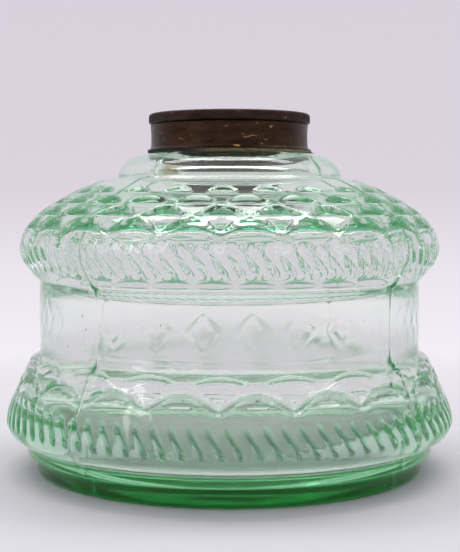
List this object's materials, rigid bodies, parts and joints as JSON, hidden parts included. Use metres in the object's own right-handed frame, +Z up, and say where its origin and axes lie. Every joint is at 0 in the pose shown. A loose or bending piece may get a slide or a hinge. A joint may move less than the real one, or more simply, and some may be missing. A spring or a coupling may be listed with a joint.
{
  "type": "oil lamp reservoir",
  "caption": "Squat moulded glass reservoir for a table oil lamp, with a cemented brass collar threaded for a burner and a stepped foot to stand on.",
  "frame": {"origin": "centre of the foot, on the surface that the reservoir stands on", "axes": "+Z up along the reservoir's axis, through the collar; X and Y are across the foot"},
  "size_m": [0.1544, 0.1544, 0.1221],
  "materials": {
    "green_glass": "clear pale green moulded glass, fire polished",
    "lamp_cement": "rough dry plaster, stained",
    "aged_brass": "dark brown patina, satin",
    "worn_brass": "dark brown patina, knurled, worn on the edges"
  },
  "bodies": {
    "root": {"glass_font": "green_glass", "plaster_ring": "lamp_cement", "collar_sleeve": "aged_brass", "thread_ring": "worn_brass"}
  },
  "joints": []
}
